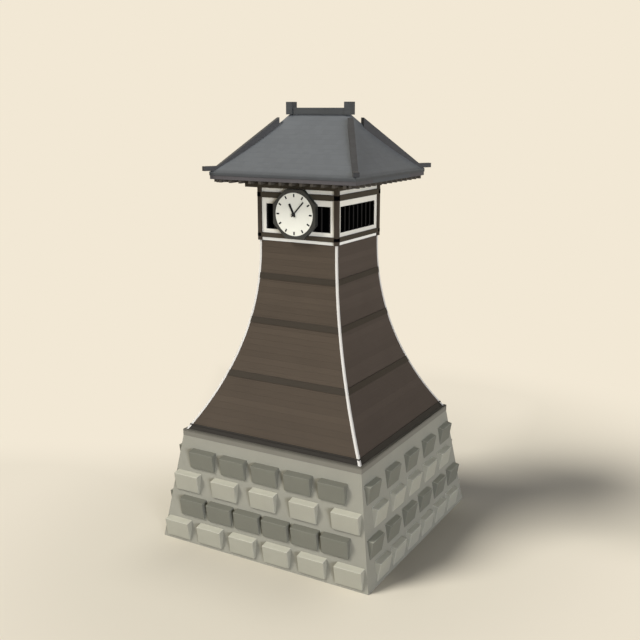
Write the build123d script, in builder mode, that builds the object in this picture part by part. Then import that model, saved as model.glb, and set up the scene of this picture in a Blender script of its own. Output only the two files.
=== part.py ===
from build123d import *
import math
import os

os.makedirs("parts", exist_ok=True)

# A timber clock tower on a battered stone base. Millimetres, +Z up.
# The origin is at the middle of the base's underside. The clock is on the -Y face.

# Stone base: a battered mass of masonry under a course of coping stones
base_width = 8660
base_top_width = 7440
base_height = 3950
coping_overhang = 5
coping_height = 235

# Face stones: courses of long blocks that stand out from the base and lean outwards
course_rise = 455
course_pitch = 900
course_counts = {"pale": (6, 5), "dark": (6, 5)}
block_height = 680
block_depth = 400
block_lean = 9.5
front_block_width = 1060
front_block_stand = 175
side_block_width = 920
side_block_stand = 125
near_end_gap = 655
far_end_gap = 1120

# Ground sill on the coping, that the tower walls stand on, with a lip along its top
foot_setback = 104
sill_depth = 340
sill_height = 190
lip_height = 35
lip_depth = 30

# Flared timber tower: each side curves inwards to a waist near its top
tower_height = 6965
waist_width = 3160
waist_rise = 6773
wall_thickness = 140

# Trim on the tower walls
band_rises = {"lower": 1980, "middle": 3950, "upper": 5570}
band_height = 205
band_depth = 30
corner_leg = 60
corner_depth = 15

# Clock room at the top of the tower
room_overhang = 60
floor_thickness = 120
room_height = 1760
post_size = 150
panel_setback = 70
rail_depth = 80
lower_rail_height = 160
upper_rail_drop = 140
upper_rail_height = 200
window_margin = 170
window_height = 905
window_rise = 300
pane_thickness = 10
pane_setback = 30

# Wall plates, rafters and boarded eaves
plate_height = 210
plate_overrun = 530
rafter_height = 110
rafter_width = 100
rafter_spacing = 412
rafter_setback = 35
hip_rafter_width = 120
eaves_thickness = 130
eaves_setback = 15

# Hipped roof with slightly hollow slopes
roof_length = 5820
roof_depth = 5520
roof_edge = 120
roof_rise = 1955
roof_top_length = 2468
roof_top_depth = 120
roof_dip = 95
roof_thickness = 200

# Ridge, its end blocks and the ridges down the hips
ridge_height = 240
ridge_depth = 260
ridge_end_height = 445
ridge_end_width = 250
ridge_end_depth = 350
ridge_end_inset = 42
hip_ridge_width = 200
hip_ridge_height = 185
hip_ridge_gap = 460
hip_tip_reach = 220
hip_tip_length = 530
hip_tip_height = 160
hip_tip_lift = 35

# Clock
clock_rise = 900
case_border = 100
case_depth = 180
dial_radius = 755
dial_thickness = 25
dial_recess = 30
dial_fit = 5
mark_length = 95
mark_width = 32
mark_thickness = 8
mark_inset = 45
hand_thickness = 12
hand_gap = 12
arbor_radius = 20
arbor_clearance = 0.3
cap_radius = 62
cap_thickness = 14
hour_length = 410
hour_width = 80
hour_tail = 90
hour_hub_radius = 60
hour_angle = 333.5
minute_length = 600
minute_width = 46
minute_tail = 110
minute_hub_radius = 50
minute_angle = 42

# Heights that follow from the sizes above
coping_top = base_height + coping_height
sill_top = coping_top + sill_height
lip_bottom = sill_top - lip_height
tower_top = coping_top + tower_height
waist_level = coping_top + waist_rise
floor_top = tower_top + floor_thickness
room_top = floor_top + room_height
plate_top = room_top + plate_height
rafter_top = plate_top + rafter_height
roof_base = rafter_top + eaves_thickness
roof_edge_top = roof_base + roof_edge
roof_apex = roof_edge_top + roof_rise
clock_centre = floor_top + clock_rise

# Widths that follow from the sizes above
coping_width = base_top_width + 2 * coping_overhang
foot_width = coping_width - 2 * foot_setback
room_width = waist_width + 2 * room_overhang
plate_length = room_width + plate_overrun
window_width = room_width - 2 * post_size - 2 * window_margin
case_width = 2 * (dial_radius + dial_fit + case_border)

# The one radius that carries the flare from the tower's foot to its waist
flare_run = (foot_width - waist_width) / 2
flare_drop = waist_level - coping_top
flare_radius = (flare_run**2 + flare_drop**2) / (2 * flare_run)

# Distances from the middle of the tower
sill_inner = foot_width / 2 - sill_depth
room_half = room_width / 2
post_inner = room_half - post_size
post_middle = room_half - post_size / 2
panel_face = room_half - panel_setback
rail_face = panel_face + rail_depth
roof_half_length = roof_length / 2
roof_half_depth = roof_depth / 2
case_front = rail_face + case_depth
dial_front = case_front - dial_recess + dial_thickness
hour_back = dial_front + hand_gap
minute_back = hour_back + hand_thickness + hand_gap
cap_back = minute_back + hand_thickness + hand_gap

sides = {"front": 0, "right": 90, "back": 180, "left": 270}


def turned(angle):
    """Horizontal unit vectors along a side, and out of it, for a turn about Z."""
    along = Vector(1, 0, 0).rotate(Axis.Z, angle)
    outward = Vector(0, -1, 0).rotate(Axis.Z, angle)
    return along, outward


def elevation(angle, distance):
    """A side seen square on from outside: x runs along it, y is the height."""
    along, outward = turned(angle)
    return Plane(origin=outward * distance, x_dir=along, z_dir=outward)


def section(angle):
    """A cut through a side: x is the distance out from the middle, y is the height."""
    along, outward = turned(angle)
    return Plane(origin=(0, 0, 0), x_dir=outward, z_dir=along * -1)


def plan(angle, height):
    """A level plane, turned so that the side lies towards its -y."""
    along, outward = turned(angle)
    return Plane(origin=(0, 0, height), x_dir=along, z_dir=(0, 0, 1))


def base_half(height):
    """Half the stone base's width at a height."""
    return (base_width + (base_top_width - base_width) * height / base_height) / 2


def flare_half(height, grow):
    """Half the tower's width at a height, with its faces moved out by grow."""
    radius = flare_radius - grow
    drop = height - waist_level
    return waist_width / 2 + flare_radius - math.sqrt(radius**2 - drop**2)


def flare_edge(grow, low, high):
    """The curved edge of a tower face between two heights."""
    levels = [low, (low + high) / 2, high]
    return ThreePointArc(*[(flare_half(level, grow), level) for level in levels])


def flared_prism(plane, grow, low, high):
    """A block with the tower's outline on one plane and flat sides across it."""
    with BuildPart() as prism:
        with BuildSketch(plane):
            with BuildLine():
                edge = flare_edge(grow, low, high)
                Line((0, low), edge @ 0)
                Line(edge @ 1, (0, high))
                mirror(about=Plane.YZ)
            make_face()
        extrude(amount=base_width / 2, both=True)
    return prism.part


def flared_body(grow, low, high):
    """The tower's square flared body between two heights."""
    return flared_prism(Plane.XZ, grow, low, high) & flared_prism(Plane.YZ, grow, low, high)


def corner_columns(grow, inset, low, high):
    """The four corners of the flared body, each as wide as inset and grow together."""
    with BuildPart() as columns:
        add(flared_body(grow, low, high))
        for plane in (Plane.XZ, Plane.YZ):
            add(flared_prism(plane, -inset, low, high), mode=Mode.SUBTRACT)
    return columns.part


def roof_prism(plane, half_span, half_top, lowered):
    """A block with one cross-section of the roof, lowered by a given height."""
    edge_low = roof_base - lowered
    edge_high = roof_edge_top - lowered
    apex = roof_apex - lowered
    middle = ((half_span + half_top) / 2, (edge_high + apex) / 2 - roof_dip)
    with BuildPart() as prism:
        with BuildSketch(plane):
            with BuildLine():
                Polyline((0, edge_low), (half_span, edge_low), (half_span, edge_high))
                ThreePointArc((half_span, edge_high), middle, (half_top, apex))
                Line((half_top, apex), (0, apex))
                mirror(about=Plane.YZ)
            make_face()
        extrude(amount=roof_length, both=True)
    return prism.part


def roof_mass(lowered):
    """The whole roof as one solid hipped block."""
    along = roof_prism(Plane.XZ, roof_half_length, roof_top_length / 2, lowered)
    across = roof_prism(Plane.YZ, roof_half_depth, roof_top_depth / 2, lowered)
    return along & across


# --- Stone base ---

with BuildPart() as stone_base:
    with BuildSketch():
        Rectangle(base_width, base_width)
    with BuildSketch(Plane.XY.offset(base_height)):
        Rectangle(base_top_width, base_top_width)
    loft()
stone_base.part.label = "stone_base"
export_step(stone_base.part, "parts/stone_base.step")

# Pale and dark courses take turns, and so do courses that end near and far from the corners
for tone, first_course in (("pale", 0), ("dark", 1)):
    with BuildPart() as face_stones:
        for side, angle in sides.items():
            on_front = side in ("front", "back")
            block_width = front_block_width if on_front else side_block_width
            block_stand = front_block_stand if on_front else side_block_stand
            along, outward = turned(angle)
            for step, count in enumerate(course_counts[tone]):
                course_height = course_rise + (first_course + 2 * step) * course_pitch
                wall_half = base_half(course_height)
                ends_near = on_front == (tone == "pale")
                row_half = wall_half - (near_end_gap if ends_near else far_end_gap)
                centre = outward * (wall_half + block_stand) + Vector(0, 0, course_height)
                face_normal = outward.rotate(Axis(origin=(0, 0, 0), direction=along), block_lean)
                with BuildSketch(Plane(origin=centre, x_dir=along, z_dir=face_normal)):
                    with GridLocations(2 * row_half / (count - 1), 0, count, 1):
                        Rectangle(block_width, block_height)
                extrude(amount=-block_depth)
        add(stone_base.part, mode=Mode.SUBTRACT)
    face_stones.part.label = f"{tone}_face_stones"
    export_step(face_stones.part, f"parts/{tone}_face_stones.step")

with BuildPart() as base_coping:
    with BuildSketch(Plane.XY.offset(base_height)):
        Rectangle(coping_width, coping_width)
    extrude(amount=coping_height)
base_coping.part.label = "base_coping"
export_step(base_coping.part, "parts/base_coping.step")

# --- Ground sill: front and back timbers run through, the side ones fit between ---

with BuildPart() as sill_body:
    add(flared_body(0, coping_top, lip_bottom))
    add(flared_body(lip_depth, lip_bottom, sill_top))

for side, angle in sides.items():
    runs_through = side in ("front", "back")
    half_length = coping_width / 2 if runs_through else sill_inner
    with BuildPart() as sill:
        with BuildSketch(plan(angle, coping_top)):
            with Locations((0, -(coping_width / 2 + sill_inner) / 2)):
                Rectangle(2 * half_length, coping_width / 2 - sill_inner)
        extrude(amount=sill_height)
        add(sill_body.part, mode=Mode.INTERSECT)
    sill.part.label = f"{side}_sill"
    export_step(sill.part, f"parts/{side}_sill.step")

# --- Tower walls: curved, hollow inside, mitred to each other at the corners ---

for side, angle in sides.items():
    mitre_reach = foot_width
    with BuildPart() as wall:
        with BuildSketch(section(angle)):
            with BuildLine():
                outer = flare_edge(0, sill_top, tower_top)
                inner = flare_edge(-wall_thickness, sill_top, tower_top)
                Line(outer @ 0, inner @ 0)
                Line(outer @ 1, inner @ 1)
            make_face()
        extrude(amount=foot_width / 2, both=True)
        with BuildSketch(plan(angle, sill_top)):
            Polygon((0, 0), (-mitre_reach, -mitre_reach), (mitre_reach, -mitre_reach), align=None)
        extrude(amount=tower_height, mode=Mode.INTERSECT)
    wall.part.label = f"{side}_wall"
    export_step(wall.part, f"parts/{side}_wall.step")

# --- Corner strips over the sill and the walls, parted by the sill's lip ---

with BuildPart() as corner_strips:
    add(corner_columns(corner_depth, corner_leg, coping_top, tower_top))
    add(flared_body(0, coping_top, tower_top), mode=Mode.SUBTRACT)
    add(flared_body(lip_depth, lip_bottom, sill_top), mode=Mode.SUBTRACT)
corner_strips.part.label = "corner_strips"
export_step(corner_strips.part, "parts/corner_strips.step")

# --- Level bands round the walls, between the corner strips ---

for level, rise in band_rises.items():
    band_low = coping_top + rise
    band_high = band_low + band_height
    with BuildPart() as bands:
        add(flared_body(band_depth, band_low, band_high))
        add(flared_body(0, band_low, band_high), mode=Mode.SUBTRACT)
        add(corner_columns(2 * band_depth, corner_leg, band_low, band_high), mode=Mode.SUBTRACT)
    bands.part.label = f"{level}_bands"
    export_step(bands.part, f"parts/{level}_bands.step")

# --- Clock room ---

with BuildPart() as clock_room_floor:
    with BuildSketch(Plane.XY.offset(tower_top)):
        Rectangle(2 * panel_face, 2 * panel_face)
        with GridLocations(2 * post_middle, 2 * post_middle, 2, 2):
            Rectangle(post_size, post_size, mode=Mode.SUBTRACT)
    extrude(amount=floor_thickness)
clock_room_floor.part.label = "clock_room_floor"
export_step(clock_room_floor.part, "parts/clock_room_floor.step")

with BuildPart() as corner_posts:
    with BuildSketch(Plane.XY.offset(tower_top)):
        with GridLocations(2 * post_middle, 2 * post_middle, 2, 2):
            Rectangle(post_size, post_size)
    extrude(amount=room_top - tower_top)
corner_posts.part.label = "corner_posts"
export_step(corner_posts.part, "parts/corner_posts.step")

rails = {
    "lower_rails": (floor_top, lower_rail_height),
    "upper_rails": (room_top - upper_rail_drop - upper_rail_height, upper_rail_height),
}
for name, (rail_bottom, height) in rails.items():
    with BuildPart() as rail_set:
        for angle in sides.values():
            with BuildSketch(elevation(angle, panel_face)):
                with Locations((0, rail_bottom + height / 2)):
                    Rectangle(2 * post_inner, height)
            extrude(amount=rail_depth)
    rail_set.part.label = name
    export_step(rail_set.part, f"parts/{name}.step")

# Plaster panels between the posts, each with its window cut through
for side, angle in sides.items():
    with BuildPart() as panel:
        with BuildSketch(elevation(angle, post_inner)):
            with Locations((0, floor_top + room_height / 2)):
                Rectangle(2 * post_inner, room_height)
            with Locations((0, floor_top + window_rise + window_height / 2)):
                Rectangle(window_width, window_height, mode=Mode.SUBTRACT)
        extrude(amount=panel_face - post_inner)
    panel.part.label = f"{side}_panel"
    export_step(panel.part, f"parts/{side}_panel.step")

# One dark pane closes each window, a little behind the face of the panel
with BuildPart() as window_panes:
    for angle in sides.values():
        with BuildSketch(elevation(angle, panel_face - pane_setback)):
            with Locations((0, floor_top + window_rise + window_height / 2)):
                Rectangle(window_width, window_height)
        extrude(amount=-pane_thickness)
window_panes.part.label = "window_panes"
export_step(window_panes.part, "parts/window_panes.step")

# --- Wall plates on the posts: the front and back ones run on past the left corners ---

for side, y_side in (("front", -1), ("back", 1)):
    with BuildPart() as long_plate:
        with BuildSketch(Plane.XY.offset(room_top)):
            with Locations((-plate_overrun / 2, y_side * post_middle)):
                Rectangle(plate_length, post_size)
        extrude(amount=plate_height)
    long_plate.part.label = f"{side}_wall_plate"
    export_step(long_plate.part, f"parts/{side}_wall_plate.step")

with BuildPart() as side_wall_plates:
    with BuildSketch(Plane.XY.offset(room_top)):
        with GridLocations(2 * post_middle, 0, 2, 1):
            Rectangle(post_size, 2 * post_inner)
    extrude(amount=plate_height)
side_wall_plates.part.label = "side_wall_plates"
export_step(side_wall_plates.part, "parts/side_wall_plates.step")

# --- Rafters: those beyond the room's corners are short and butt on the hip rafters ---

hip_rafter_end = roof_half_depth - rafter_setback - hip_rafter_width / 2
with BuildPart() as hip_rafters:
    for angle in sides.values():
        with BuildSketch(plan(angle + 45, plate_top)):
            inner_end = post_inner * math.sqrt(2)
            outer_end = hip_rafter_end * math.sqrt(2)
            with Locations((0, -(inner_end + outer_end) / 2)):
                Rectangle(hip_rafter_width, outer_end - inner_end)
        extrude(amount=rafter_height)
hip_rafters.part.label = "hip_rafters"
export_step(hip_rafters.part, "parts/hip_rafters.step")

for side, angle in sides.items():
    reach = roof_half_depth if side in ("front", "back") else roof_half_length
    outer_end = reach - rafter_setback
    # A short rafter stops where its nearer edge meets the side of the hip rafter.
    hip_side = hip_rafter_width / math.sqrt(2) + rafter_width / 2
    rafters_each_way = int((hip_rafter_end - hip_side) / rafter_spacing) + 1
    with BuildPart() as rafters:
        with BuildSketch(plan(angle, plate_top)):
            for step in range(-rafters_each_way, rafters_each_way + 1):
                offset_along = step * rafter_spacing
                inner_end = max(post_inner, abs(offset_along) + hip_side)
                if outer_end - inner_end < rafter_width:
                    continue
                with Locations((offset_along, -(inner_end + outer_end) / 2)):
                    Rectangle(rafter_width, outer_end - inner_end)
        extrude(amount=rafter_height)
    rafters.part.label = f"{side}_rafters"
    export_step(rafters.part, f"parts/{side}_rafters.step")

# --- Boarded eaves on the rafters: front and back run through, the sides fit between ---

for side, angle in sides.items():
    runs_through = side in ("front", "back")
    reach = (roof_half_depth if runs_through else roof_half_length) - eaves_setback
    half_length = roof_half_length - eaves_setback if runs_through else post_inner
    with BuildPart() as eaves:
        with BuildSketch(plan(angle, rafter_top)):
            with Locations((0, -(reach + post_inner) / 2)):
                Rectangle(2 * half_length, reach - post_inner)
        extrude(amount=eaves_thickness)
    eaves.part.label = f"{side}_eaves"
    export_step(eaves.part, f"parts/{side}_eaves.step")

# --- Roof: a hollow hipped shell, open underneath ---

roof_block = roof_mass(0)
roof_void = roof_mass(roof_thickness)

with BuildPart() as roof:
    add(roof_block)
    add(roof_void, mode=Mode.SUBTRACT)
roof.part.label = "roof"
export_step(roof.part, "parts/roof.step")

# The ridge and its end blocks lie on the narrow flat top of the roof
ridge_end_middle = roof_top_length / 2 - ridge_end_inset
ridge_length = 2 * ridge_end_middle - ridge_end_width

with BuildPart() as ridge:
    with BuildSketch(Plane.XY.offset(roof_apex)):
        Rectangle(ridge_length, ridge_depth)
    extrude(amount=ridge_height)
ridge.part.label = "ridge"
export_step(ridge.part, "parts/ridge.step")

with BuildPart() as ridge_ends:
    with BuildSketch(Plane.XY.offset(roof_apex)):
        with GridLocations(2 * ridge_end_middle, 0, 2, 1):
            Rectangle(ridge_end_width, ridge_end_depth)
    extrude(amount=ridge_end_height)
ridge_ends.part.label = "ridge_ends"
export_step(ridge_ends.part, "parts/ridge_ends.step")

# Hip ridges: straight on top, bedded on the hollow hips, with a level tip past each corner
hip_run = Vector(roof_half_length - roof_top_length / 2, roof_half_depth - roof_top_depth / 2, 0)
hip_fall = roof_rise / hip_run.length
hip_tip_end = hip_run.length + hip_tip_reach
hip_tip_start = hip_tip_end - hip_tip_length
tip_bottom = roof_edge_top + hip_tip_lift
tip_top = tip_bottom + hip_tip_height
hip_upper_top = roof_apex - hip_ridge_gap * hip_fall + hip_ridge_height
buried = 2 * hip_ridge_height

with BuildPart() as hip_ridges:
    for x_side, y_side in ((-1, -1), (1, -1), (1, 1), (-1, 1)):
        hip_along = Vector(x_side * hip_run.X, y_side * hip_run.Y, 0).normalized()
        hip_across = Vector(hip_along.Y, -hip_along.X, 0)
        hip_start = (x_side * roof_top_length / 2, y_side * roof_top_depth / 2, 0)
        with BuildSketch(Plane(origin=hip_start, x_dir=hip_along, z_dir=hip_across)):
            Polygon(
                (hip_ridge_gap, hip_upper_top),
                (hip_tip_start, tip_top),
                (hip_tip_end, tip_top),
                (hip_tip_end, tip_bottom),
                (hip_tip_start, tip_bottom),
                (hip_ridge_gap, hip_upper_top - hip_ridge_height - buried),
                align=None,
            )
        extrude(amount=hip_ridge_width / 2, both=True)
    add(roof_block, mode=Mode.SUBTRACT)
hip_ridges.part.label = "hip_ridges"
export_step(hip_ridges.part, "parts/hip_ridges.step")

# --- Clock on the front: an eight-sided case against the rails, with a round dial ---

with BuildPart() as clock_case:
    with BuildSketch(elevation(0, rail_face)):
        with Locations((0, clock_centre)):
            RegularPolygon(case_width / 2, 8, major_radius=False, rotation=22.5)
    extrude(amount=case_depth)
    with BuildSketch(elevation(0, case_front)):
        with Locations((0, clock_centre)):
            Circle(dial_radius + dial_fit)
    extrude(amount=-dial_recess, mode=Mode.SUBTRACT)
clock_case.part.label = "clock_case"
export_step(clock_case.part, "parts/clock_case.step")

with BuildPart() as dial:
    with BuildSketch(elevation(0, dial_front)):
        with Locations((0, clock_centre)):
            Circle(dial_radius)
    extrude(amount=-dial_thickness)
dial.part.label = "dial"
export_step(dial.part, "parts/dial.step")

with BuildPart() as hour_marks:
    with BuildSketch(elevation(0, dial_front)):
        with Locations((0, clock_centre)):
            with PolarLocations(dial_radius - mark_inset - mark_length / 2, 12):
                Rectangle(mark_length, mark_width)
    extrude(amount=mark_thickness)
hour_marks.part.label = "hour_marks"
export_step(hour_marks.part, "parts/hour_marks.step")

# The fixed arbor carries both hands, and its cap holds them on
with BuildPart() as clock_arbor:
    with BuildSketch(elevation(0, dial_front)):
        with Locations((0, clock_centre)):
            Circle(arbor_radius)
    extrude(amount=cap_back - dial_front)
    with BuildSketch(elevation(0, cap_back)):
        with Locations((0, clock_centre)):
            Circle(cap_radius)
    extrude(amount=cap_thickness)
clock_arbor.part.label = "clock_arbor"
export_step(clock_arbor.part, "parts/clock_arbor.step")

hands = {
    "hour_hand": (hour_back, hour_angle, hour_length, hour_width, hour_tail, hour_hub_radius),
    "minute_hand": (
        minute_back, minute_angle, minute_length, minute_width, minute_tail, minute_hub_radius,
    ),
}
for name, (back, angle, length, width, tail, hub_radius) in hands.items():
    with BuildPart() as hand:
        with BuildSketch(elevation(0, back)):
            with Locations((0, clock_centre)):
                Circle(hub_radius)
                with Locations(Rotation(0, 0, -angle)):
                    with Locations((0, (length - tail) / 2)):
                        Rectangle(width, length + tail)
                Circle(arbor_radius + arbor_clearance, mode=Mode.SUBTRACT)
        extrude(amount=hand_thickness)
    hand.part.label = name
    export_step(hand.part, f"parts/{name}.step")
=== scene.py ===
import math
import random

import bmesh
import bpy
from mathutils import Matrix, Vector


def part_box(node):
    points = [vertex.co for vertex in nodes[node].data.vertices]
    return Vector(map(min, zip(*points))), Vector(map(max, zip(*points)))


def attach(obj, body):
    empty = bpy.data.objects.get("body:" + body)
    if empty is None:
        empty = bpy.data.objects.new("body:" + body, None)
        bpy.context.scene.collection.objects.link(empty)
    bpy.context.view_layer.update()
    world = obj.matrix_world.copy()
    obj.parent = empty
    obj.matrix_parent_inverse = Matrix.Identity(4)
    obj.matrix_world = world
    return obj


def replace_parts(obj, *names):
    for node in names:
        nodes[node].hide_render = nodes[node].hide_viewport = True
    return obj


# Looks for the clock tower. Metres, in the CAD frame: +Z up, the clock on the -Y face.

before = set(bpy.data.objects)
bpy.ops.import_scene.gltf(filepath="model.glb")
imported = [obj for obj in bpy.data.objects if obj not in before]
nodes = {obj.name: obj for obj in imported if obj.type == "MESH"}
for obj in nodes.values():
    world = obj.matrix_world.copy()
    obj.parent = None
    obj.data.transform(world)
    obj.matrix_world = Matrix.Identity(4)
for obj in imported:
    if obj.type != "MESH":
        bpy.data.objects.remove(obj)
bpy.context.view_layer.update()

sides = {"front": 0, "right": 90, "back": 180, "left": 270}
floor_level = 0.0

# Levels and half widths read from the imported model
base_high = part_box("stone_base")[1]
coping_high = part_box("base_coping")[1]
posts_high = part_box("corner_posts")[1]
panes_low, panes_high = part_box("window_panes")
lower_rail_low, lower_rail_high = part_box("lower_rails")
upper_rail_low, upper_rail_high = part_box("upper_rails")
marks_low, marks_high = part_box("hour_marks")
roof_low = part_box("roof")[0]

roof_edge = 0.12
coping_overhang = 0.005
base_half = base_high.x
base_top = base_high.z
room_half = posts_high.x
edge_top = roof_low.z + roof_edge
batter = (base_half - coping_high.x + coping_overhang) / base_top


# --- Small tools for node materials ---

class Surface:
    """A procedural material, built up one node at a time in the frame's own metres."""

    def __init__(self, name):
        self.material = bpy.data.materials.new(name)
        self.material.use_nodes = True
        self.tree = self.material.node_tree
        self.tree.nodes.clear()
        self.output = self.add("ShaderNodeOutputMaterial")
        where = self.add("ShaderNodeTexCoord")
        self.place = where.outputs["Object"]
        self.facing = where.outputs["Normal"]

    def add(self, kind, **settings):
        made = self.tree.nodes.new(kind)
        for key, value in settings.items():
            setattr(made, key, value)
        return made

    def feed(self, socket, value):
        """Sets an input to a number or colour, or links it to another node's output."""
        if isinstance(value, bpy.types.NodeSocket):
            self.tree.links.new(value, socket)
        elif isinstance(value, (tuple, list)) and len(value) == 3 and socket.type == "RGBA":
            socket.default_value = (*value, 1.0)
        else:
            socket.default_value = value

    def math(self, operation, a, b=None):
        made = self.add("ShaderNodeMath", operation=operation)
        self.feed(made.inputs[0], a)
        if b is not None:
            self.feed(made.inputs[1], b)
        return made.outputs[0]

    def product(self, first, *others):
        """All the values multiplied together."""
        for other in others:
            first = self.math("MULTIPLY", first, other)
        return first

    def vector(self, operation, a, b=None):
        """A vector operation, giving its number where it makes one and its vector otherwise."""
        made = self.add("ShaderNodeVectorMath", operation=operation)
        self.feed(made.inputs[0], a)
        if b is not None:
            self.feed(made.inputs[1], b)
        return made.outputs["Value" if operation in ("LENGTH", "DOT_PRODUCT") else "Vector"]

    def stretched(self, scale):
        """The place on the object, scaled along its axes."""
        made = self.add("ShaderNodeMapping")
        self.feed(made.inputs["Vector"], self.place)
        made.inputs["Scale"].default_value = scale
        return made.outputs["Vector"]

    def axis(self, name, of=None):
        made = self.add("ShaderNodeSeparateXYZ")
        self.feed(made.inputs[0], of or self.place)
        return made.outputs[name]

    def reach(self, name):
        """How far out a place is along an axis, on either hand."""
        return self.math("ABSOLUTE", self.axis(name))

    def noise(self, scale, detail=4.0, roughness=0.55, place=None, distortion=0.0):
        made = self.add("ShaderNodeTexNoise")
        self.feed(made.inputs["Vector"], place or self.place)
        made.inputs["Scale"].default_value = scale
        made.inputs["Detail"].default_value = detail
        made.inputs["Roughness"].default_value = roughness
        made.inputs["Distortion"].default_value = distortion
        return made.outputs["Fac"]

    def cells(self, scale):
        made = self.add("ShaderNodeTexVoronoi", feature="F1")
        self.feed(made.inputs["Vector"], self.place)
        made.inputs["Scale"].default_value = scale
        return made.outputs["Distance"]

    def ramp(self, value, low, high, low_out=0.0, high_out=1.0, smooth=True):
        """Maps low..high of a value to low_out..high_out, held at both ends."""
        made = self.add("ShaderNodeMapRange", clamp=True)
        made.interpolation_type = "SMOOTHSTEP" if smooth else "LINEAR"
        self.feed(made.inputs["Value"], value)
        for key, number in (("From Min", low), ("From Max", high),
                            ("To Min", low_out), ("To Max", high_out)):
            made.inputs[key].default_value = number
        return made.outputs["Result"]

    def mix(self, factor, a, b):
        made = self.add("ShaderNodeMix", data_type="RGBA")
        self.feed(made.inputs[0], factor)
        self.feed(made.inputs[6], a)
        self.feed(made.inputs[7], b)
        return made.outputs[2]

    def dimmed(self, colour, factor):
        """A colour made darker, or lighter, by a factor that may vary over the surface."""
        made = self.add("ShaderNodeHueSaturation")
        self.feed(made.inputs["Value"], factor)
        self.feed(made.inputs["Color"], colour)
        return made.outputs["Color"]

    def toned(self, colour, value, spread):
        """A colour made lighter and darker by up to spread as a 0..1 value goes up and down."""
        return self.dimmed(
            colour, self.ramp(value, 0.25, 0.75, 1.0 - spread, 1.0 + spread, smooth=False))

    def bump(self, height, depth, strength=1.0, under=None):
        made = self.add("ShaderNodeBump")
        made.inputs["Strength"].default_value = strength
        made.inputs["Distance"].default_value = depth
        self.feed(made.inputs["Height"], height)
        if under is not None:
            self.feed(made.inputs["Normal"], under)
        return made.outputs["Normal"]

    def finish(self, colour, roughness, normal, specular=0.5):
        shader = self.add("ShaderNodeBsdfPrincipled")
        self.feed(shader.inputs["Base Color"], colour)
        self.feed(shader.inputs["Roughness"], roughness)
        self.feed(shader.inputs["Normal"], normal)
        shader.inputs["Specular IOR Level"].default_value = specular
        self.tree.links.new(shader.outputs[0], self.output.inputs["Surface"])
        return self.material


def direct_sight(tree):
    """1 for what the camera sees, straight or in gloss and through glass, and 0 for other light."""
    rays = tree.nodes.new("ShaderNodeLightPath")
    sight = rays.outputs["Is Camera Ray"]
    for kind in ("Is Glossy Ray", "Is Transmission Ray"):
        larger = tree.nodes.new("ShaderNodeMath")
        larger.operation = "MAXIMUM"
        tree.links.new(sight, larger.inputs[0])
        tree.links.new(rays.outputs[kind], larger.inputs[1])
        sight = larger.outputs[0]
    return sight


def darker(colour, factor):
    return tuple(part * factor for part in colour)


# --- Kinds of material ---

def stone(name, colour, tint, top_light=None, shaded_below=None):
    """Dressed stone: soft clouding, a sandy grain, small pits and a finely tooled face.

    The level tops can be painted paler, by one factor on the front and back and another on the two
    sides: painted light.
    A level can be given towards which the top of the stone is painted darker: painted shade under
    the sill above.
    """
    pit_dirt = (0.10, 0.095, 0.08)
    shade_reach, shade_edge, under_sill_shade = 0.10, 0.02, 0.62

    s = Surface(name)
    clouds = s.noise(scale=0.9, detail=5.0, roughness=0.6)
    grain = s.noise(scale=38.0, detail=6.0, roughness=0.7)
    patches = s.ramp(s.noise(scale=0.35, detail=3.0), 0.45, 0.7, 0.0, 0.35)
    pits = s.ramp(s.cells(scale=21.0), 0.05, 0.16)
    shade = s.toned(colour, clouds, spread=0.05)
    shade = s.toned(shade, grain, spread=0.05)
    shade = s.mix(patches, shade, tint)
    shade = s.mix(s.ramp(pits, 0.0, 1.0, 0.18, 0.0), shade, pit_dirt)
    # Painted light: the level tops are painted paler, more so on the two sides.
    if top_light is not None:
        sideways = s.math("GREATER_THAN", s.reach("X"), s.reach("Y"))
        top_light_gain = s.ramp(sideways, 0.0, 1.0, top_light[0] - 1.0, top_light[1] - 1.0, smooth=False)
        upward = s.ramp(s.axis("Z", s.facing), 0.45, 0.85)
        shade = s.dimmed(shade, s.math("ADD", 1.0, s.product(upward, top_light_gain)))
    # Painted shade: darker towards the top of the stone, under the sill.
    if shaded_below is not None:
        sill_shade = s.ramp(s.axis("Z"), shaded_below - shade_reach, shaded_below - shade_edge,
                       1.0, under_sill_shade)
        shade = s.dimmed(shade, sill_shade)
    rough = s.ramp(grain, 0.3, 0.7, 0.82, 0.95)
    hollows = s.bump(s.noise(scale=3.2, detail=6.0, roughness=0.6), depth=0.02, strength=0.35)
    sandy = s.bump(grain, depth=0.004, strength=0.5, under=hollows)
    pitted = s.bump(pits, depth=0.003, strength=0.4, under=sandy)
    return s.finish(shade, rough, pitted, specular=0.2)


def timber(name, colour, along, spread=0.12):
    """Sawn and stained timber with its grain along one axis."""
    across_grain, along_grain = 24.0, 1.1
    stretch = [along_grain if axis == along else across_grain for axis in "xyz"]

    s = Surface(name)
    grain = s.noise(1.0, detail=7.0, roughness=0.65, place=s.stretched(stretch), distortion=0.4)
    fibre = s.noise(4.5, detail=4.0, roughness=0.6, place=s.stretched(stretch))
    checks = s.ramp(fibre, 0.30, 0.38)
    shade = s.toned(colour, s.noise(scale=0.8, detail=3.0), spread=0.07)
    shade = s.toned(shade, grain, spread)
    shade = s.mix(s.ramp(checks, 0.0, 1.0, 0.35, 0.0), shade, darker(colour, 0.35))
    rough = s.ramp(grain, 0.3, 0.7, 0.62, 0.78)
    ribbed = s.bump(grain, depth=0.003, strength=0.5)
    return s.finish(shade, rough, s.bump(checks, depth=0.002, strength=0.4, under=ribbed),
                    specular=0.15)


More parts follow.
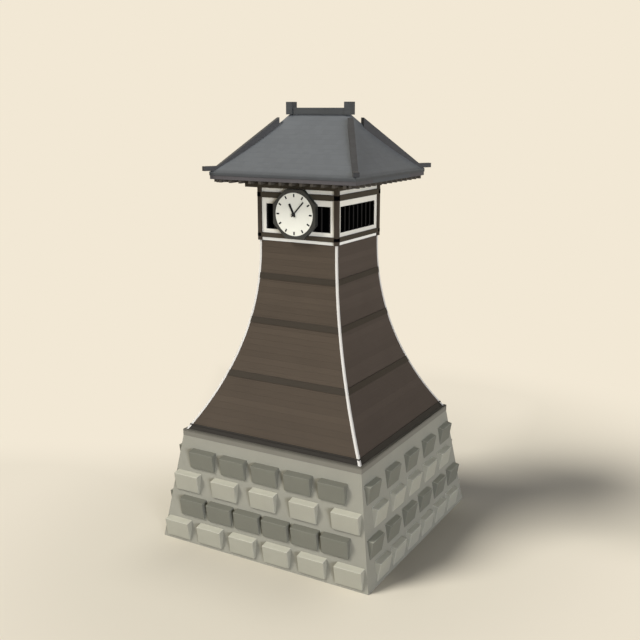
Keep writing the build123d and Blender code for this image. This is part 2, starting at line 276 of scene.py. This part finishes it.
def cladding(name, colour):
    """Dark stained boards laid level round the tower, each lapping the one below."""
    board_rise = 0.21
    lap_share = 0.07
    lap_shade = 0.12

    s = Surface(name)
    height = s.math("DIVIDE", s.axis("Z"), board_rise)
    row = s.math("FLOOR", height)
    within = s.math("FRACT", height)
    board_tone = s.add("ShaderNodeTexWhiteNoise", noise_dimensions="1D")
    s.feed(board_tone.inputs["W"], row)
    grain = s.noise(1.0, detail=7.0, roughness=0.65, place=s.stretched((1.3, 1.3, 30.0)),
                    distortion=0.35)
    shade = s.toned(colour, board_tone.outputs["Value"], spread=0.05)
    shade = s.toned(shade, s.noise(scale=0.55), spread=0.06)
    shade = s.toned(shade, grain, spread=0.10)
    lap = s.ramp(within, 0.0, lap_share)
    shade = s.mix(s.ramp(lap, 0.0, 1.0, lap_shade, 0.0), shade, darker(colour, 0.3))
    rough = s.ramp(grain, 0.3, 0.7, 0.65, 0.80)
    lapped = s.bump(s.math("SUBTRACT", 1.0, within), depth=0.008, strength=0.6)
    return s.finish(shade, rough, s.bump(grain, depth=0.003, strength=0.5, under=lapped),
                    specular=0.12)


def tiles(name, colour, course, width, joint_shade, spread, eaves=None, open_ends=False):
    """Fired clay tiles in level courses, each course half a tile along from the one below.

    Given the level of the eaves, the lowest courses and the cut edge below them are darkened with
    painted shade. The open ends of a row of ridge tiles, which face away from the middle of the
    roof, are darkened with painted shade for their hollows.
    """
    lap_share = 0.10
    eaves_shade_reach, eaves_shade = 0.11, 0.72
    edge_reach, edge_shade = 0.06, 0.62
    open_end_shade = 0.35

    s = Surface(name)
    rise = s.math("DIVIDE", s.axis("Z"), course)
    row = s.math("FLOOR", rise)
    within = s.math("FRACT", rise)
    shift = s.math("MULTIPLY", row, 0.5)
    steps = s.add("ShaderNodeCombineXYZ")
    for key in ("X", "Y"):
        along = s.math("ADD", s.math("DIVIDE", s.axis(key), width), shift)
        s.feed(steps.inputs[key], s.math("FLOOR", along))
    s.feed(steps.inputs["Z"], row)
    tile_tone = s.add("ShaderNodeTexWhiteNoise", noise_dimensions="3D")
    s.feed(tile_tone.inputs["Vector"], steps.outputs[0])
    grain = s.noise(scale=26.0, detail=5.0, roughness=0.6)
    shade = s.toned(colour, tile_tone.outputs["Value"], spread)
    shade = s.toned(shade, s.noise(scale=0.5), spread=0.05)
    shade = s.toned(shade, grain, spread=0.04)
    lap = s.ramp(within, 0.0, lap_share)
    shade = s.mix(s.ramp(lap, 0.0, 1.0, joint_shade, 0.0), shade, darker(colour, 0.35))
    # Painted shade: darker towards the eaves and on the cut edge below them.
    if eaves is not None:
        level = s.axis("Z")
        shade = s.dimmed(shade, s.ramp(level, eaves, eaves + eaves_shade_reach, eaves_shade, 1.0))
        shade = s.dimmed(shade, s.ramp(level, eaves - edge_reach, eaves, edge_shade, 1.0))
    # Painted shade: end faces turned away from the middle of the roof are darkened, standing in for
    # the shade in open tile ends.
    if open_ends:
        outward = s.vector("NORMALIZE", s.vector("MULTIPLY", s.place, (1.0, 1.0, 0.0)))
        end_on = s.vector("DOT_PRODUCT", outward, s.facing)
        shade = s.dimmed(shade, s.ramp(end_on, 0.65, 0.85, 1.0, open_end_shade))
    rough = s.ramp(grain, 0.3, 0.7, 0.55, 0.68)
    lapped = s.bump(s.math("SUBTRACT", 1.0, within), depth=0.012, strength=0.5)
    return s.finish(shade, rough, s.bump(grain, depth=0.002, strength=0.4, under=lapped),
                    specular=0.25)


def plastered(name, colour):
    """Trowelled lime plaster with a faint sand grain."""
    s = Surface(name)
    trowel = s.noise(scale=1.6, roughness=0.5, distortion=0.6)
    sand = s.noise(scale=140.0, detail=3.0, roughness=0.6)
    shade = s.toned(colour, trowel, spread=0.03)
    shade = s.toned(shade, s.noise(scale=0.5, detail=2.0), spread=0.03)
    waved = s.bump(trowel, depth=0.006, strength=0.4)
    return s.finish(shade, 0.9, s.bump(sand, depth=0.001, strength=0.4, under=waved),
                    specular=0.3)


def painted(name, colour, rough=0.4, spread=0.03, specular=0.5):
    """A brushed coat of paint, with faint brush marks and patches of duller gloss."""
    s = Surface(name)
    brush = s.noise(1.0, detail=5.0, roughness=0.6, place=s.stretched((60.0, 60.0, 4.0)))
    patches = s.noise(scale=3.0)
    shade = s.toned(colour, brush, spread)
    shade = s.toned(shade, patches, spread)
    return s.finish(shade, s.ramp(patches, 0.3, 0.7, rough, rough + 0.15),
                    s.bump(brush, depth=0.001, strength=0.3), specular)


# --- The tower's materials ---

brown_timber = (0.0405, 0.033, 0.022)
rafter_brown = (0.050, 0.043, 0.034)
looks = {
    "base_stone": stone("base_stone", (0.254, 0.244, 0.196), (0.238, 0.228, 0.184)),
    "coping_stone": stone("coping_stone", (0.172, 0.161, 0.130), (0.16, 0.15, 0.122),
                          shaded_below=coping_high.z),
    "pale_block": stone("pale_block", (0.326, 0.314, 0.250), (0.306, 0.294, 0.238),
                        top_light=(1.45, 1.7)),
    "dark_block": stone("dark_block", (0.155, 0.152, 0.120), (0.144, 0.142, 0.112),
                        top_light=(1.0, 2.1)),
    "wall_cladding": cladding("wall_cladding", (0.0625, 0.0475, 0.0335)),
    # The side boards are the front's timber painted a little lighter and bluer: painted light.
    "side_cladding_painted_light": cladding("side_cladding_painted_light", (0.066, 0.051, 0.0395)),
    "band_timber": timber("band_timber", (0.0345, 0.0275, 0.0195), "x"),
    "dark_timber": timber("dark_timber", brown_timber, "x"),
    "dark_timber_y": timber("dark_timber_y", brown_timber, "y"),
    "post_timber": timber("post_timber", (0.0375, 0.029, 0.0205), "z"),
    "rafter_timber": timber("rafter_timber", rafter_brown, "x"),
    "rafter_timber_y": timber("rafter_timber_y", rafter_brown, "y"),
    "sill_timber": timber("sill_timber", (0.022, 0.019, 0.015), "x"),
    # The sides' sill is painted lighter than the front's: painted light.
    "sill_timber_y_painted_light": timber("sill_timber_y_painted_light", (0.029, 0.025, 0.0195), "y"),
    "eaves_board": timber("eaves_board", (0.073, 0.067, 0.067), "x", spread=0.08),
    # The sides' eaves boards are painted bluer than the front's: painted light.
    "eaves_board_y_painted_light": timber("eaves_board_y_painted_light", (0.070, 0.073, 0.074), "y", spread=0.08),
    "plaster": plastered("plaster", (0.685, 0.652, 0.558)),
    "roof_tile": tiles("roof_tile", (0.103, 0.109, 0.112), course=0.155, width=0.27,
                       joint_shade=0.14, spread=0.03, eaves=edge_top),
    "ridge_tile": tiles("ridge_tile", (0.042, 0.044, 0.044), course=0.12, width=0.30,
                        joint_shade=0.20, spread=0.05),
    "hip_tile": tiles("hip_tile", (0.043, 0.042, 0.041), course=0.12, width=0.30,
                      joint_shade=0.20, spread=0.05, open_ends=True),
    "white_trim": painted("white_trim", (0.75, 0.73, 0.655), 0.6, specular=0.2),
    "corner_trim": painted("corner_trim", (0.56, 0.535, 0.485), 0.6, specular=0.2),
    "clock_case": painted("clock_case", (0.018, 0.0185, 0.015), 0.45, 0.08),
    "dial_face": painted("dial_face", (0.70, 0.686, 0.59), 0.5, 0.012, 0.2),
    "clock_black": painted("clock_black", (0.008, 0.008, 0.008), 0.5, 0.06, 0.2),
    "iron_strap_painted_shade": painted("iron_strap_painted_shade", (0.001, 0.001, 0.001), 0.9, 0.06, 0.0),
    # The panes are a near-black matt sheet standing in for the shade inside the clock room: painted
    # shade.
    "window_pane": painted("window_pane", (0.0006, 0.0006, 0.0006), 0.9, 0.06, 0.0),
    "window_bar": painted("window_bar", (0.012, 0.011, 0.010), 0.8, 0.06, 0.1),
}

dressed_in = {
    "stone_base": "base_stone",
    "base_coping": "coping_stone",
    "pale_face_stones": "pale_block",
    "dark_face_stones": "dark_block",
    "corner_strips": "corner_trim",
    "clock_room_floor": "white_trim",
    "corner_posts": "post_timber",
    "lower_rails": "dark_timber",
    "upper_rails": "dark_timber",
    "side_wall_plates": "dark_timber_y",
    "front_wall_plate": "dark_timber",
    "back_wall_plate": "dark_timber",
    "hip_rafters": "rafter_timber",
    "lower_bands": "band_timber",
    "middle_bands": "band_timber",
    "upper_bands": "band_timber",
    "roof": "roof_tile",
    "ridge": "ridge_tile",
    "ridge_ends": "ridge_tile",
    "hip_ridges": "hip_tile",
    "clock_case": "clock_case",
    "dial": "dial_face",
    "hour_marks": "clock_black",
    "clock_arbor": "clock_black",
    "hour_hand": "clock_black",
    "minute_hand": "clock_black",
    "window_panes": "window_pane",
}
for side in sides:
    crosswise = side in ("left", "right")
    dressed_in[f"{side}_sill"] = "sill_timber_y_painted_light" if crosswise else "sill_timber"
    dressed_in[f"{side}_wall"] = "side_cladding_painted_light" if crosswise else "wall_cladding"
    dressed_in[f"{side}_panel"] = "plaster"
    dressed_in[f"{side}_rafters"] = "rafter_timber" if crosswise else "rafter_timber_y"
    dressed_in[f"{side}_eaves"] = "eaves_board_y_painted_light" if crosswise else "eaves_board"

for name, node in nodes.items():
    node.data.materials.clear()
    node.data.materials.append(looks[dressed_in[name]])


# --- Pieces added in mesh code ---

def side_matrix(angle):
    """Local x along a side, y out of it, z up."""
    return Matrix.Rotation(math.radians(angle), 4, "Z") @ Matrix.Scale(-1, 4, (0, 1, 0))


def add_box(mesh, size, place, bevel, segments=1):
    """A box with bevelled edges, moved and turned by a matrix."""
    made = bmesh.new()
    bmesh.ops.create_cube(made, size=1.0, matrix=Matrix.Diagonal((*size, 1.0)))
    bmesh.ops.bevel(made, geom=made.edges[:], offset=bevel, segments=segments,
                    profile=0.5, affect="EDGES")
    bmesh.ops.transform(made, matrix=place, verts=made.verts)
    if place.determinant() < 0:
        bmesh.ops.reverse_faces(made, faces=made.faces)
    copy = bpy.data.meshes.new("part")
    made.to_mesh(copy)
    made.free()
    mesh.from_mesh(copy)
    bpy.data.meshes.remove(copy)


def link_object(name, data):
    made = bpy.data.objects.new(name, data)
    bpy.context.scene.collection.objects.link(made)
    return made


def add_piece(name, mesh, look):
    data = bpy.data.meshes.new(name)
    mesh.normal_update()
    mesh.to_mesh(data)
    mesh.free()
    data.materials.append(looks[look])
    piece = link_object(name, data)
    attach(piece, "tower")
    return piece


# Face stones: pale and dark courses of bevelled blocks take the place of the plain solids
course_rise = 0.455
course_pitch = 0.90
course_counts = (6, 6, 5, 5)
block_height = 0.68
block_depth = 0.40
block_bevel = 0.028
block_bevel_steps = 2
block_lean = math.radians(9.5)
front_block_width, front_block_stand = 1.06, 0.175
side_block_width, side_block_stand = 0.92, 0.125
narrowest_share = 0.985
near_end_gap = 0.655
far_end_gap = 1.12
chance = random.Random(7)

blocks = {"pale": bmesh.new(), "dark": bmesh.new()}
for side, angle in sides.items():
    on_front = side in ("front", "back")
    block_width = front_block_width if on_front else side_block_width
    block_stand = front_block_stand if on_front else side_block_stand
    for level, count in enumerate(course_counts):
        tone = "dark" if level % 2 else "pale"
        centre_z = course_rise + level * course_pitch
        wall_half = base_half - batter * centre_z
        ends_near = on_front == (tone == "pale")
        row_half = wall_half - (near_end_gap if ends_near else far_end_gap)
        for step in range(count):
            along = row_half * (2.0 * step / (count - 1) - 1.0)
            place = (
                side_matrix(angle)
                @ Matrix.Translation((along, wall_half + block_stand, centre_z))
                @ Matrix.Rotation(-block_lean, 4, "X")
                @ Matrix.Translation((0.0, -block_depth / 2, 0.0))
            )
            width = block_width * chance.uniform(narrowest_share, 1.0)
            add_box(blocks[tone], (width, block_depth, block_height), place, block_bevel,
                    block_bevel_steps)
for tone, mesh in blocks.items():
    piece = add_piece(f"{tone}_stone_blocks", mesh, f"{tone}_block")
    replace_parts(piece, f"{tone}_face_stones")

# Window bars: nine upright bars in front of each pane
bar_count = 9
bar_spacing = 0.32
bar_width = 0.055
bar_depth = 0.025
bar_bevel = 0.006
pane_front = panes_high.y
pane_middle_z = (panes_low.z + panes_high.z) / 2
window_height = panes_high.z - panes_low.z
for side, angle in sides.items():
    mesh = bmesh.new()
    for step in range(bar_count):
        along = (step - (bar_count - 1) / 2) * bar_spacing
        middle = (along, pane_front + bar_depth / 2, pane_middle_z)
        place = side_matrix(angle) @ Matrix.Translation(middle)
        add_box(mesh, (bar_width, bar_depth, window_height), place, bar_bevel)
    add_piece(f"{side}_window_bars", mesh, "window_bar")

# Hour marks: bolder painted plates take the place of the plain ones, centre on centre
hours = 12
plain_mark_length = 0.095
mark_length = 0.115
mark_width = 0.056
mark_bevel = 0.003
mark_radius = (marks_high.z - marks_low.z) / 2 - plain_mark_length / 2
mark_depth = marks_high.y - marks_low.y
dial_middle = (marks_low + marks_high) / 2
mesh = bmesh.new()
for hour in range(hours):
    place = (
        Matrix.Translation(dial_middle)
        @ Matrix.Rotation(math.radians(hour * 360.0 / hours), 4, "Y")
        @ Matrix.Translation((0.0, 0.0, mark_radius))
    )
    add_box(mesh, (mark_width, mark_depth, mark_length), place, mark_bevel)
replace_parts(add_piece("hour_mark_plates", mesh, "clock_black"), "hour_marks")

# Near-black iron straps round the corner posts where the rails meet them, standing in for the shade
# where the rails cross the posts: painted shade.
strap_thickness = 0.006
strap_length = 0.156
strap_inset = 0.02
strap_bevel = 0.0015
strap_along = room_half + strap_thickness - strap_length / 2
strap_out = room_half + strap_thickness / 2
mesh = bmesh.new()
for low, high in ((lower_rail_low.z, lower_rail_high.z), (upper_rail_low.z, upper_rail_high.z)):
    size = (strap_length, strap_thickness, high - low - 2 * strap_inset)
    for angle in sides.values():
        for hand in (-1, 1):
            middle = (hand * strap_along, strap_out, (low + high) / 2)
            place = side_matrix(angle) @ Matrix.Translation(middle)
            add_box(mesh, size, place, strap_bevel)
add_piece("post_straps_painted_shade", mesh, "iron_strap_painted_shade")

# --- Floor ---

backdrop = (0.888, 0.807, 0.665)
floor_colour = (0.80, 0.735, 0.60)
floor_reach = 400.0
floor_drop = 0.002

mesh = bmesh.new()
corners = [mesh.verts.new((x * floor_reach, y * floor_reach, floor_level - floor_drop))
           for x, y in ((-1, -1), (1, -1), (1, 1), (-1, 1))]
mesh.faces.new(corners)
floor_data = bpy.data.meshes.new("floor")
mesh.to_mesh(floor_data)
mesh.free()
link_object("floor", floor_data)

# The floor fades into the backdrop far off, and sooner behind the tower on the left. It also
# pales slowly in an oval round the tower, but not along the shadow.
fade_start, fade_end = 11.0, 24.0
backward, behind_start, behind_end = (-0.497, 0.868, 0.0), 0.0, 8.5
rightward, left_start, left_end = (0.868, 0.497, 0.0), -3.0, -7.0
oval_shape, oval_start, oval_end, oval_fade = (1.0, 0.75, 1.0), 5.0, 13.5, 0.66
shadow_way, shadow_edge, shadow_heart = (0.707, 0.707, 0.0), 0.80, 0.95

s = Surface("floor")
flat = s.vector("MULTIPLY", s.place, (1.0, 1.0, 0.0))
far_off = s.ramp(s.vector("LENGTH", flat), fade_start, fade_end)
behind = s.product(
    s.ramp(s.vector("DOT_PRODUCT", flat, backward), behind_start, behind_end),
    s.ramp(s.vector("DOT_PRODUCT", flat, rightward), left_end, left_start, 1.0, 0.0),
)
oval = s.vector("LENGTH", s.vector("MULTIPLY", flat, oval_shape))
in_shadow = s.vector("DOT_PRODUCT", s.vector("NORMALIZE", flat), shadow_way)
around = s.product(
    s.ramp(oval, oval_start, oval_end, 0.0, oval_fade),
    s.ramp(in_shadow, shadow_edge, shadow_heart, 1.0, 0.0),
)
fade = s.math("MAXIMUM", far_off, s.math("MAXIMUM", behind, around))

# Painted shade: the floor is darker close to the foot of the front and of the right side
front_foot_shade, right_foot_shade = 0.22, 0.40
forward = s.math("MULTIPLY", s.axis("Y"), -1.0)
rightwards = s.axis("X")
before = s.product(
    s.ramp(forward, 2.0, 4.4),
    s.ramp(forward, 4.4, 8.5, 1.0, 0.0),
    s.ramp(rightwards, -5.5, -2.5),
    s.ramp(rightwards, 1.5, 5.0, front_foot_shade, 0.0),
)
beside = s.product(
    s.ramp(rightwards, 4.0, 6.5, right_foot_shade, 0.0),
    s.ramp(s.reach("Y"), 2.0, 4.5, 1.0, 0.0),
    s.ramp(rightwards, -2.0, 3.0),
)
foot_shade = s.math("SUBTRACT", 1.0, s.math("MAXIMUM", before, beside))

matt = s.add("ShaderNodeBsdfDiffuse")
s.feed(matt.inputs["Color"], s.dimmed(floor_colour, foot_shade))
glow = s.add("ShaderNodeEmission")
s.feed(glow.inputs["Color"], backdrop)
blend = s.add("ShaderNodeMixShader")
s.feed(blend.inputs[0], s.product(fade, direct_sight(s.tree)))
s.feed(blend.inputs[1], matt.outputs[0])
s.feed(blend.inputs[2], glow.outputs[0])
s.feed(s.output.inputs["Surface"], blend.outputs[0])
floor_data.materials.append(s.material)

# --- Sky, lamps and camera ---

sky_level = 0.12
sky_colour = (0.97, 0.98, 1.0)

world = bpy.data.worlds.new("world")
bpy.context.scene.world = world
world.use_nodes = True
tree = world.node_tree
tree.nodes.clear()
shown = tree.nodes.new("ShaderNodeBackground")
shown.inputs["Color"].default_value = (*backdrop, 1.0)
lit = tree.nodes.new("ShaderNodeBackground")
lit.inputs["Color"].default_value = (*sky_colour, 1.0)
lit.inputs["Strength"].default_value = sky_level
blend = tree.nodes.new("ShaderNodeMixShader")
tree.links.new(direct_sight(tree), blend.inputs[0])
tree.links.new(lit.outputs[0], blend.inputs[1])
tree.links.new(shown.outputs[0], blend.inputs[2])
tree.links.new(blend.outputs[0], tree.nodes.new("ShaderNodeOutputWorld").inputs["Surface"])


def add_sun(name, travel, strength, softness, colour):
    light = bpy.data.lights.new(name, "SUN")
    light.energy = strength
    light.angle = math.radians(softness)
    light.color = colour
    link_object(name, light).rotation_euler = Vector(travel).to_track_quat("-Z", "Y").to_euler()


add_sun("key", travel=(0.50, 0.50, -0.707), strength=2.98, softness=22.0,
        colour=(1.0, 0.99, 0.968))
add_sun("fill", travel=(-0.764, 0.641, -0.07), strength=3.9, softness=24.0,
        colour=(0.85, 0.89, 1.0))

camera_place = (16.20, -28.26, 15.82)
camera_dip = 13.48
camera_turn = 29.82
camera_data = bpy.data.cameras.new("camera")
camera_data.lens = 50.0
camera_data.sensor_width = 36.0
camera_data.clip_end = 1000.0
camera = link_object("camera", camera_data)
camera.location = camera_place
camera.rotation_euler = (math.radians(90.0 - camera_dip), 0.0, math.radians(camera_turn))
bpy.context.scene.camera = camera
bpy.context.scene.view_settings.view_transform = "Standard"
